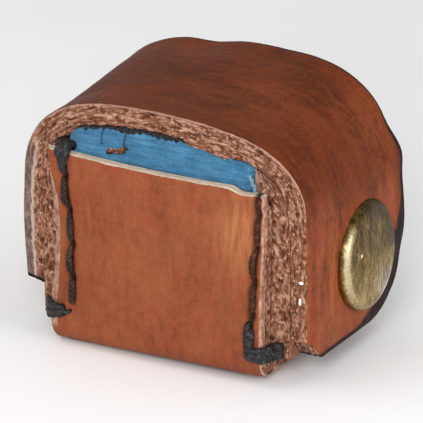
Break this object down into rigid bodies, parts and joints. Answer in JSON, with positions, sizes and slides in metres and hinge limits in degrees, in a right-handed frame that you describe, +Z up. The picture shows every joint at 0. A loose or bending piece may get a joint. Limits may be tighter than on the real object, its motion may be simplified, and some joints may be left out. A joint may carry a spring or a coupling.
{
  "type": "leather finger thimble",
  "caption": "Hand-sewn leather finger thimble: arched outer band, square toe piece, felt liner and a riveted domed brass needle pusher on one side.",
  "frame": {"origin": "middle of the footprint, on the plane that the sole rests on", "axes": "+X to the side with the needle pusher, +Y to the opening where the finger goes in, +Z up through the crown"},
  "size_m": [0.03, 0.0201, 0.0236],
  "materials": {
    "band_leather": "oiled vegetable-tanned leather, dark brown",
    "toe_leather": "smooth vegetable-tanned leather, orange brown",
    "wall_leather": "cut vegetable-tanned leather, fibrous edges",
    "liner_felt": "matte felt",
    "waxed_thread": "waxed thread, slight sheen",
    "brass": "tarnished brass with worn highlights"
  },
  "bodies": {
    "root": {"outer_band": "band_leather", "toe_piece": "toe_leather", "left_side_wall": "wall_leather", "right_side_wall": "wall_leather", "liner_wrap": "liner_felt", "liner_tip": "liner_felt", "left_front_seam": "waxed_thread", "right_front_seam": "waxed_thread", "left_sole_seam": "waxed_thread", "right_sole_seam": "waxed_thread", "left_upper_tack": "waxed_thread", "right_upper_tack": "waxed_thread", "left_lower_tack": "waxed_thread", "right_lower_tack": "waxed_thread", "pusher_cap": "brass", "rivet_post": "brass", "rivet_washer": "brass"}
  },
  "joints": []
}
